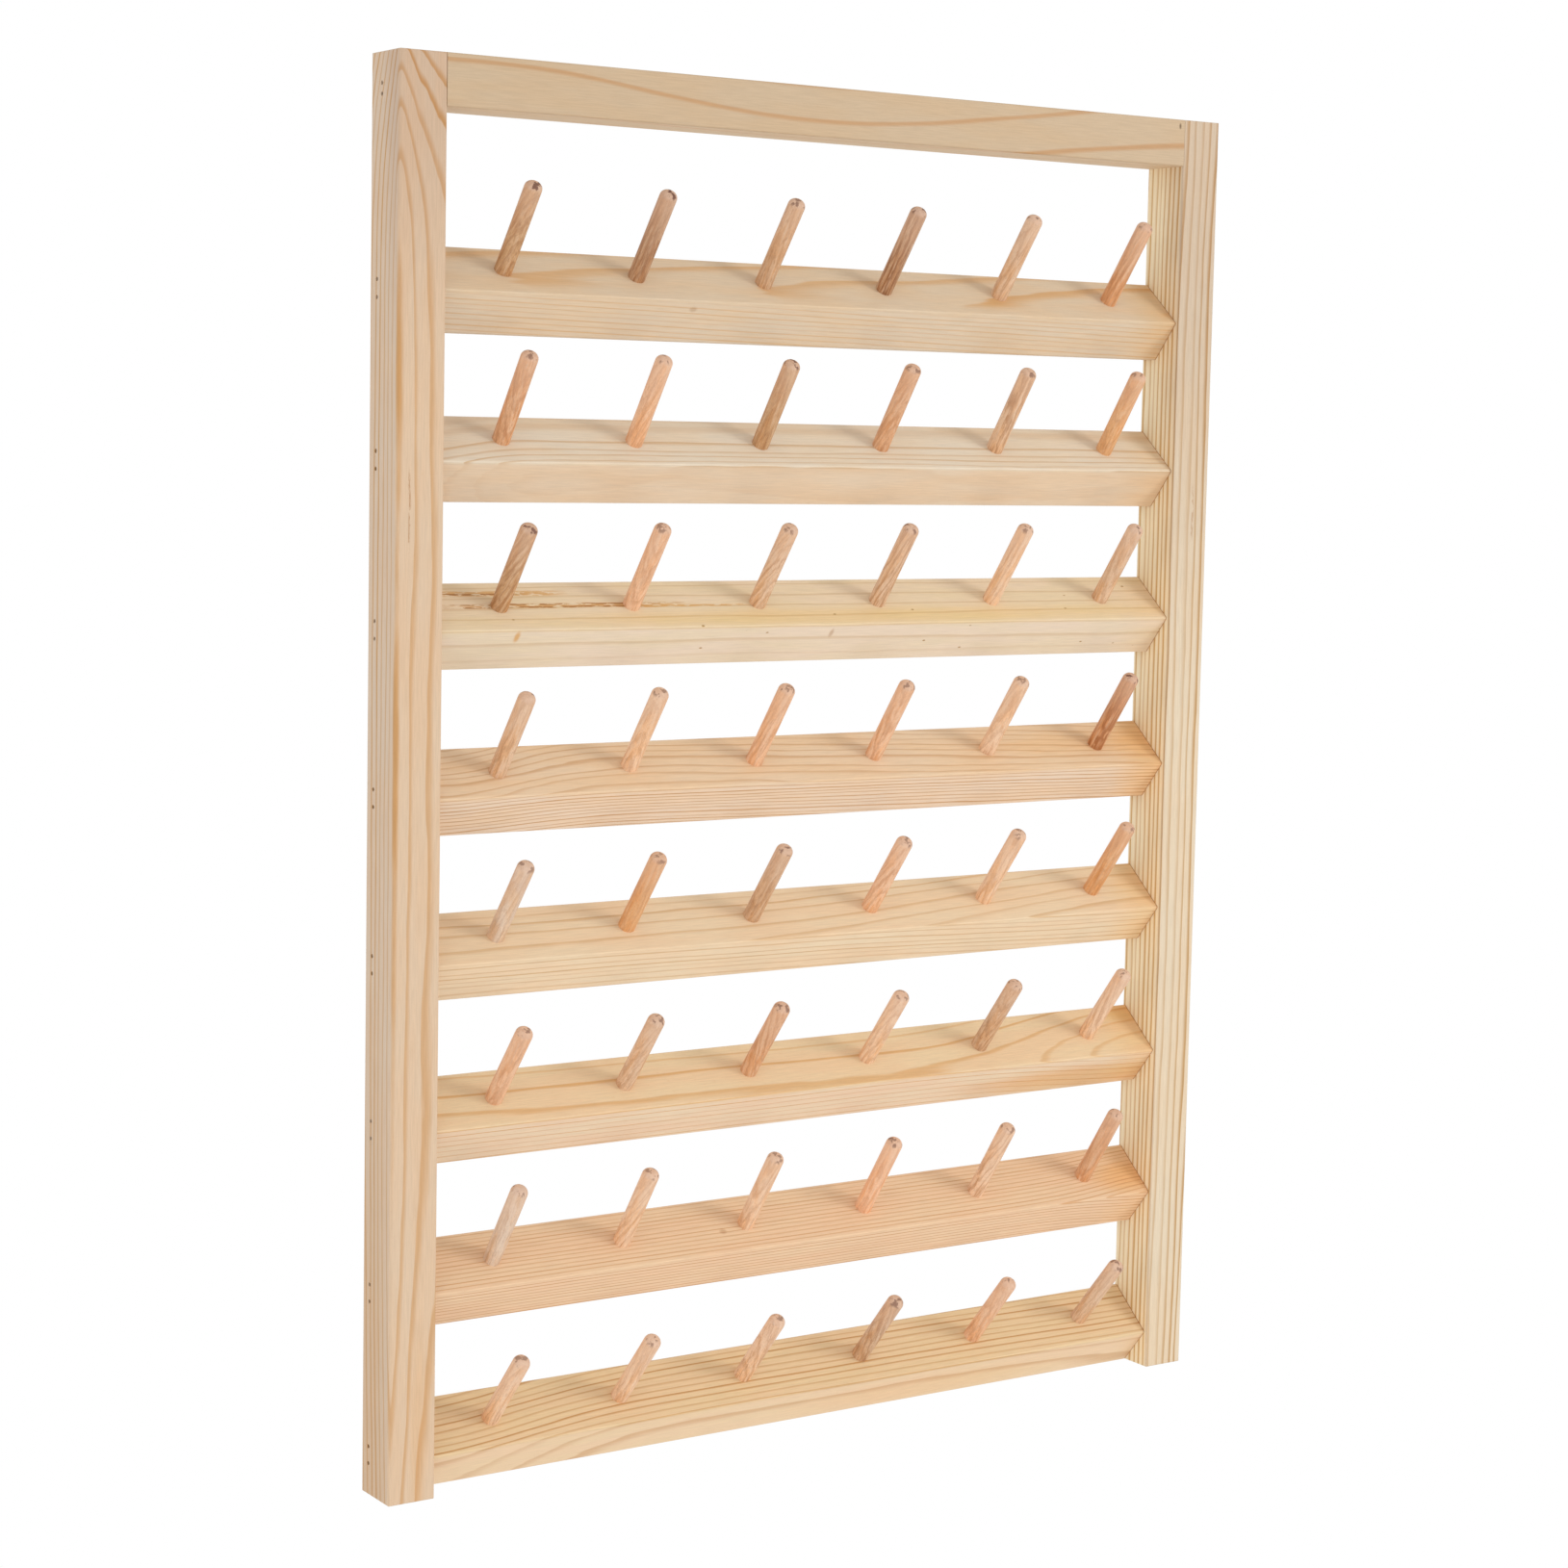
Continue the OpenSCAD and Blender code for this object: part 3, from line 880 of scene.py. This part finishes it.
def copies(s, points, instance):
    """A real copy of a shape at each point."""
    inputs = {"Points": points, "Instance": instance}
    made = s.first("GeometryNodeInstanceOnPoints", inputs)
    return s.first("GeometryNodeRealizeInstances", {"Geometry": made})


def stations(s, count):
    """The points of an outline, which turned_shape moves to their heights."""
    line = s.first("GeometryNodeCurvePrimitiveLine", {"End": (0, 0, 1)})
    return s.first("GeometryNodeResampleCurve", {"Curve": line, "Count": count})


def turned_shape(s, points, height, radius, sides):
    """A closed round shape along Z, as from a lathe, with a height and a radius for each point."""
    inputs = {"Geometry": points, "Position": s.joined(0.0, 0.0, height)}
    placed = s.first("GeometryNodeSetPosition", inputs)
    ring = s.first("GeometryNodeCurvePrimitiveCircle", {"Resolution": sides, "Radius": 1.0})
    inputs = {"Curve": placed, "Profile Curve": ring, "Scale": radius, "Fill Caps": True}
    return s.first("GeometryNodeCurveToMesh", inputs)


def rotation(s, about_x, about_y, about_z):
    """A turn by these angles about the three axes."""
    turn = {"Euler": s.joined(about_x, about_y, about_z)}
    return s.first("FunctionNodeEulerToRotation", turn)


def real_and_smooth(s, instances, material):
    """Instances made real, shaded smooth and given their material."""
    real = s.first("GeometryNodeRealizeInstances", {"Geometry": instances})
    smooth = s.first("GeometryNodeSetShadeSmooth", {"Geometry": real})
    return s.first("GeometryNodeSetMaterial", {"Geometry": smooth, "Material": material})


# Points of a peg's outline after the first: up the shaft, round the tip's arris and in across its end
SHAFT_STEPS = 6
ARC_STEPS = 8
END_STEPS = 3
# The end's last ring is this much smaller than its first
END_CLOSING = 0.97


def peg_outline(s, given, index):
    """Height and radius of a peg at each point of its outline, from the foot of its hole to the tip."""
    shaft = s.over(index, float(SHAFT_STEPS), clamp=True)
    arc = s.over(s.minus(index, float(SHAFT_STEPS)), float(ARC_STEPS), clamp=True)
    end = s.over(s.minus(index, float(SHAFT_STEPS + ARC_STEPS)), float(END_STEPS), clamp=True)
    turn = s.times(arc, math.pi / 2)
    tip = given["Tip Rounding"]
    straight = s.plus(s.minus(given["Reach"], tip), given["Depth"])
    height = s.minus(s.times(shaft, straight), given["Depth"])
    height = s.plus(height, s.times(tip, s.calc("SINE", turn)))
    radius = s.plus(s.minus(given["Radius"], tip), s.times(tip, s.calc("COSINE", turn)))
    radius = s.times(radius, s.minus(1.0, s.times(end, END_CLOSING)))
    return height, radius


def peg_row_tree():
    """A row of round pegs, each spun at random about its own axis and numbered from the left."""
    s, given, result = geometry_tree(
        "Row of pegs",
        {
            "Columns": "whole", "Pitch": "value", "First Foot": "vector", "Lean": "value", "Radius": "value",
            "Reach": "value", "Depth": "value", "Tip Rounding": "value", "Sides": "whole", "Seed": "whole",
            "Wood": "material",
        },
    )
    index = s.first("GeometryNodeInputIndex")
    points = stations(s, SHAFT_STEPS + ARC_STEPS + END_STEPS + 1)
    height, radius = peg_outline(s, given, index)
    turned = turned_shape(s, points, height, radius, given["Sides"])
    own_place = s.scaled(s.first("GeometryNodeInputPosition"), TO_MM)
    peg = s.first(
        "GeometryNodeStoreNamedAttribute",
        {"Geometry": turned, "Name": "peg_place", "Value": own_place},
        data_type="FLOAT_VECTOR", domain="POINT",
    )
    feet = line_of_points(s, given["Columns"], given["First Foot"], s.joined(given["Pitch"], 0.0, 0.0))
    angle = s.add(
        "FunctionNodeRandomValue",
        {"Min": 0.0, "Max": 2 * math.pi, "ID": index, "Seed": given["Seed"]},
        data_type="FLOAT",
    ).outputs["Value"]
    stance = s.first(
        "FunctionNodeRotateRotation",
        {"Rotation": rotation(s, given["Lean"], 0.0, 0.0), "Rotate By": rotation(s, 0.0, 0.0, angle)},
        rotation_space="LOCAL",
    )
    inputs = {"Points": feet, "Instance": peg, "Rotation": stance}
    row = s.first("GeometryNodeInstanceOnPoints", inputs)
    numbered = s.first(
        "GeometryNodeStoreNamedAttribute",
        {"Geometry": row, "Name": "peg_number", "Value": index},
        data_type="INT", domain="INSTANCE",
    )
    s.feed(result["Geometry"], real_and_smooth(s, numbered, given["Wood"]))
    return s.tree


# Hardwood tones: colour, then the strength of the streaks, of the flecks and of the dark end grain
PEG_TONES = {
    "d": (colour(188, 146, 111), 1.0, 1.0, 1.0),
    "b": (colour(201, 158, 115), 0.9, 0.9, 0.9),
    "t": (colour(213, 175, 140), 0.7, 0.9, 0.7),
    "k": (colour(224, 172, 130), 0.8, 0.5, 0.7),
    "w": (colour(227, 191, 158), 0.8, 0.6, 0.7),
    "o": (colour(229, 174, 122), 0.6, 0.3, 0.6),
    "p": (colour(240, 193, 156), 0.75, 0.4, 0.6),
    "q": (colour(243, 206, 173), 0.75, 0.4, 0.6),
    "g": (colour(228, 204, 182), 0.6, 0.5, 0.6),
    "r": (colour(209, 150, 102), 1.0, 0.8, 1.0),
    "f": (colour(247, 196, 158), 0.6, 0.3, 0.7),
}
# One letter for each peg, left to right. A capital has the same tone with stronger streaks.
PEG_ROWS = ("bdtDwk", "kpbkWo", "bpwWqw", "wqppqR", "gotpqo", "pwkqtq", "gqqfQk", "qqQTpw")
STRONG_STREAKS = 1.6

# How a peg's patterns darken, redden or lighten its tone
DARK_STAIN = (0.6, 0.43, 0.3, 1.0)
RUDDY_STAIN = (1.0, 0.86, 0.7, 1.0)
LIGHT_WOOD = colour(240, 212, 184)
LIGHT_SHARE = 0.4
BLOTCH_RANGE = (0.62, 0.4)
LIGHT_STREAK_RANGE = (0.48, 0.66)
LIGHT_STREAK_SHARE = 0.7
DARK_STREAK_RANGE = (0.5, 0.34)
DARK_STREAK_SHARE = 0.65
YEAR_LINE_SHARE = 0.55
FLECK_SHARE = 0.6
FLECK_DEPTH = 0.6
RAY_RANGE = (0.3, 0.7)
RAY_TONES = (0.93, 1.05)
# Pegs are paler towards the tip as painted light, with the foot left in painted shade, and their end grain
# is duller with dark spots
TIPWARD_PAINTED_LIGHT = colour(226, 190, 164)
TIPWARD_PAINTED_LIGHT_SHARE = 0.4
END_WOOD = colour(212, 178, 156)
END_SHARE = 0.45
END_SPOT_BROWN = colour(112, 72, 56)
PEG_ROUGHNESS = (0.48, 0.66)
PEG_SHINE = 0.35
PEG_BUMP = (0.3, 0.08 * MM)


def peg_wood():
    """Unvarnished turned hardwood, with the tone and figure that each peg's attributes give it."""
    material, s, shader = new_material("Hardwood pegs")
    place = s.add("ShaderNodeAttribute", attribute_name="peg_place").outputs["Vector"]
    tone = s.add("ShaderNodeAttribute", attribute_name="peg_tone").outputs["Color"]
    figure = s.add("ShaderNodeAttribute", attribute_name="peg_figure").outputs["Vector"]
    number = s.add("ShaderNodeAttribute", attribute_name="peg_seed").outputs["Fac"]
    streaky, flecked, ended = s.parts(figure)
    grain = use(s, DOWEL, (place, number, PEG_REACH * TO_MM))
    dark = s.stained(tone, DARK_STAIN)
    base = s.blend(s.ramp(grain["Blotch"], *BLOTCH_RANGE), s.stained(tone, RUDDY_STAIN), tone)
    share = s.times(s.ramp(grain["Streak"], *LIGHT_STREAK_RANGE), LIGHT_STREAK_SHARE)
    base = s.blend(share, base, s.blend(LIGHT_SHARE, tone, LIGHT_WOOD))
    share = s.times(s.ramp(grain["Streak"], *DARK_STREAK_RANGE), s.times(streaky, DARK_STREAK_SHARE))
    base = s.blend(share, base, dark)
    base = s.blend(s.times(grain["Line"], s.times(streaky, YEAR_LINE_SHARE)), base, dark)
    base = s.blend(s.times(grain["Fleck"], s.times(flecked, FLECK_SHARE)), base, dark)
    base = s.stained(base, s.grey(s.ramp(grain["Ray"], *RAY_RANGE, *RAY_TONES)))
    # Painted light: the shaft turns paler towards the tip
    base = s.blend(s.times(grain["Outward"], TIPWARD_PAINTED_LIGHT_SHARE), base, TIPWARD_PAINTED_LIGHT)
    sawn = s.blend(END_SHARE, base, END_WOOD)
    spotted = s.blend(s.times(grain["End Spot"], ended), sawn, END_SPOT_BROWN)
    base = s.blend(grain["End"], base, spotted)
    height = s.minus(grain["Streak"], s.times(grain["Fleck"], FLECK_DEPTH))
    dress(s, shader, base, s.between(grain["Streak"], *PEG_ROUGHNESS), s.bump(height, *PEG_BUMP))
    shader.inputs["Specular IOR Level"].default_value = PEG_SHINE
    return material


def give_tones(piece, letters, row):
    """Writes each peg's tone, figure and seed as attributes that the wood reads."""
    mesh = piece.data
    numbers = [item.value for item in mesh.attributes["peg_number"].data]
    for label, kind in (("peg_tone", "FLOAT_COLOR"), ("peg_figure", "FLOAT_VECTOR"), ("peg_seed", "FLOAT")):
        mesh.attributes.new(label, kind, "POINT")
    tones = mesh.attributes["peg_tone"].data
    figures = mesh.attributes["peg_figure"].data
    seeds = mesh.attributes["peg_seed"].data
    for vertex, number in enumerate(numbers):
        letter = letters[number]
        shade, streaks, flecks, ends = PEG_TONES[letter.lower()]
        if letter.isupper():
            streaks = streaks * STRONG_STREAKS
        tones[vertex].color = shade
        figures[vertex].vector = (streaks, flecks, ends)
        seeds[vertex].value = row * COLUMNS + number


def pegs():
    """All the pegs, one piece for each row."""
    wood = peg_wood()
    tree = peg_row_tree()
    for row in range(1, ROWS + 1):
        foot = Vector((0, NOSE_Y, nose_z(row))) + UP_BEVEL * PEG_UP
        foot.x = -COLUMN_PITCH * (COLUMNS - 1) / 2
        values = {
            "Columns": COLUMNS, "Pitch": COLUMN_PITCH, "First Foot": foot,
            "Lean": BEVEL - math.radians(ROW_LEAN[row - 1]), "Radius": PEG_RADIUS, "Reach": PEG_REACH,
            "Depth": PEG_DEPTH, "Tip Rounding": PEG_TIP, "Sides": PEG_SIDES, "Seed": row, "Wood": wood,
        }
        name = f"pegs_row_{row}"
        nodes = [f"peg_r{row}_c{column}" for column in range(1, COLUMNS + 1)]
        piece = settled(run_tree(name, tree, values), name, nodes)
        give_tones(piece, PEG_ROWS[row - 1], row)


def brad_places(s, given):
    """Where brads go on a stile: a pair for each peg rail, and a closer pair for the top rail."""

    def pair(gap):
        return line_of_points(s, 2, s.joined(0.0, 0.0, s.times(gap, -0.5)), s.joined(0.0, 0.0, gap))

    up = s.joined(0.0, 0.0, given["Row Pitch"])
    rows = line_of_points(s, given["Rows"], given["Lowest"], up)
    inputs = {"Geometry": pair(given["Top Gap"]), "Translation": given["Top Place"]}
    top = s.first("GeometryNodeTransform", inputs)
    places = s.add("GeometryNodeJoinGeometry")
    s.feed(places.inputs["Geometry"], copies(s, rows, pair(given["Gap"])))
    s.feed(places.inputs["Geometry"], top)
    return places.outputs["Geometry"]


def listed(s, index, values):
    """The value of a list at an index, in metres from mm."""
    switch = s.add("GeometryNodeIndexSwitch", data_type="FLOAT")
    while len(switch.index_switch_items) < len(values):
        switch.index_switch_items.new()
    s.feed(switch.inputs["Index"], index)
    for number, value in enumerate(values):
        s.feed(switch.inputs[str(number)], value * MM)
    return switch.outputs["Output"]


def brad_tree():
    """Pairs of brads driven in from both stiles, a pair for each end of each rail."""
    s, given, result = geometry_tree(
        "Brads",
        {
            "Rows": "whole", "Row Pitch": "value", "Lowest": "vector", "Gap": "value", "Top Place": "vector",
            "Top Gap": "value", "Half Width": "value", "Sides": "whole", "Steel": "material",
        },
    )
    half = given["Half Width"]
    left = s.joined(s.times(half, -1.0), 0.0, 0.0)
    sides = line_of_points(s, 2, left, s.joined(s.times(half, 2.0), 0.0, 0.0))
    heads = copies(s, sides, brad_places(s, given))
    side = s.calc("SIGN", s.parts(s.first("GeometryNodeInputPosition"))[0])
    inward = rotation(s, 0.0, s.times(side, -math.pi / 2), 0.0)
    index = s.first("GeometryNodeInputIndex")
    depth = listed(s, index, BRAD_DEPTHS)
    radius = listed(s, index, BRAD_RADII)
    brad = turned_shape(s, stations(s, len(BRAD_DEPTHS)), depth, radius, given["Sides"])
    inputs = {"Points": heads, "Instance": brad, "Rotation": inward}
    driven = s.first("GeometryNodeInstanceOnPoints", inputs)
    s.feed(result["Geometry"], real_and_smooth(s, driven, given["Steel"]))
    return s.tree


TARNISH = (1.6, 3.0, 0.6)
TARNISH_RANGE = (0.45, 0.65)
DULL_STEEL = colour(150, 142, 132)
TARNISHED_STEEL = colour(84, 72, 60)
STEEL_ROUGHNESS = (0.38, 0.7)
STEEL_METALLIC = 0.9
STEEL_BUMP = (0.2, 0.05 * MM)


def brad_steel():
    """Bright wire gone dull, with darker spots of tarnish."""
    material, s, shader = new_material("Dulled steel brads")
    here = s.scaled(s.add("ShaderNodeTexCoord").outputs["Object"], TO_MM)
    tarnish = s.noise(here, *TARNISH)
    spots = s.ramp(tarnish, *TARNISH_RANGE)
    base = s.blend(spots, DULL_STEEL, TARNISHED_STEEL)
    dress(s, shader, base, s.between(spots, *STEEL_ROUGHNESS), s.bump(tarnish, *STEEL_BUMP))
    shader.inputs["Metallic"].default_value = STEEL_METALLIC
    return material


def brads():
    """All the brads as one piece."""
    values = {
        "Rows": ROWS, "Row Pitch": ROW_PITCH, "Lowest": (0, -BRAD_BACK, nose_z(ROWS)), "Gap": BRAD_GAP,
        "Top Place": (0, -TOP_BRAD_BACK, -TOP_BRAD_DROP), "Top Gap": TOP_BRAD_GAP, "Half Width": RACK_HALF,
        "Sides": BRAD_SIDES, "Steel": brad_steel(),
    }
    settled(run_tree("brads", brad_tree(), values), "brads", ["brad_nails"])


# The floor lies well below the rack and fades into the white backdrop between these distances, in metres
FLOOR_Z = -1.04
FLOOR_HALF = 6.0
FLOOR_FADE = (0.6, 1.25)
FLOOR_PALE = (0.86, 0.86, 0.85, 1.0)
FLOOR_ROUGHNESS = 0.9
# Light of the surround that falls on things
AMBIENT = (0.76, 0.76, 0.76, 1.0)
# Weak soft lamps that model the rack: place, size and watts. All aim at the rack's middle
LAMPS = {
    "right lamp": ((0.85, -1.15, 0.3), 0.5, 6),
    "low lamp": ((0.1, -0.8, -0.95), 0.9, 2.3),
    "left lamp": ((-1.4, -0.45, -0.25), 0.9, 4),
}
LAMP_AIM = Vector((0, 0, -0.21))
# The photograph's viewpoint, fitted to the rack's edges: metres, degrees and mm of lens
CAMERA_PLACE = (-0.59721, -0.89095, -0.10438)
CAMERA_TURN = (84.4013, -1.1336, -33.4654)
CAMERA_LENS = 73.826
CAMERA_SENSOR = 36
CAMERA_SHIFT = -0.0208
CAMERA_NEAR = 0.05
CAMERA_FAR = 50


def seen_directly(s):
    """1 for a camera, mirror or see-through ray, and 0 for light that falls on things."""
    path = s.add("ShaderNodeLightPath").outputs
    direct = s.calc("MAXIMUM", path["Is Camera Ray"], path["Is Glossy Ray"])
    return s.calc("MAXIMUM", direct, path["Is Transmission Ray"])


def floor():
    """A plain pale floor, which fades to the white backdrop away from the rack."""
    near, far = -FLOOR_HALF, FLOOR_HALF
    corners = [(near, near, 0), (far, near, 0), (far, far, 0), (near, far, 0)]
    mesh = bpy.data.meshes.new("floor")
    mesh.from_pydata(corners, [], [(0, 1, 2, 3)])
    material, s, shader = new_material("Pale floor")
    shader.inputs["Base Color"].default_value = FLOOR_PALE
    shader.inputs["Roughness"].default_value = FLOOR_ROUGHNESS
    away = s.vector("LENGTH", s.add("ShaderNodeTexCoord").outputs["Object"])
    white_share = s.times(s.ramp(away, *FLOOR_FADE), seen_directly(s))
    glow = s.add("ShaderNodeEmission", {"Color": WHITE, "Strength": 1.0}).outputs["Emission"]
    mixed = s.add("ShaderNodeMixShader", {0: white_share, 1: shader.outputs["BSDF"], 2: glow})
    output = next(node for node in s.tree.nodes if node.type == "OUTPUT_MATERIAL")
    s.feed(output.inputs["Surface"], mixed.outputs["Shader"])
    mesh.materials.append(material)
    plane = bpy.data.objects.new("floor", mesh)
    plane.location = (0, 0, FLOOR_Z)
    bpy.context.scene.collection.objects.link(plane)


def backdrop():
    """A white surround that lights the rack softly."""
    world = bpy.data.worlds.new("Studio")
    world.use_nodes = True
    world.node_tree.nodes.clear()
    s = Steps(world.node_tree)
    glow = s.blend(seen_directly(s), AMBIENT, WHITE)
    background = s.add("ShaderNodeBackground", {"Color": glow, "Strength": 1.0})
    s.add("ShaderNodeOutputWorld", {"Surface": background.outputs["Background"]})
    bpy.context.scene.world = world


def lamps():
    """Square soft lamps at the front right, below and on the left."""
    for name, (place, size, watts) in LAMPS.items():
        lamp = bpy.data.lights.new(name, "AREA")
        lamp.shape = "SQUARE"
        lamp.size = size
        lamp.energy = watts
        holder = bpy.data.objects.new(name, lamp)
        holder.location = place
        holder.rotation_euler = (LAMP_AIM - Vector(place)).to_track_quat("-Z", "Y").to_euler()
        bpy.context.scene.collection.objects.link(holder)


def camera():
    """The photograph's view of the rack."""
    data = bpy.data.cameras.new("camera")
    data.sensor_width = CAMERA_SENSOR
    data.lens = CAMERA_LENS
    data.shift_y = CAMERA_SHIFT
    data.clip_start = CAMERA_NEAR
    data.clip_end = CAMERA_FAR
    view = bpy.data.objects.new("camera", data)
    view.location = CAMERA_PLACE
    view.rotation_euler = [math.radians(angle) for angle in CAMERA_TURN]
    bpy.context.scene.collection.objects.link(view)
    bpy.context.scene.camera = view


boards()
pegs()
brads()
floor()
backdrop()
lamps()
camera()
bpy.context.scene.view_settings.view_transform = "Standard"
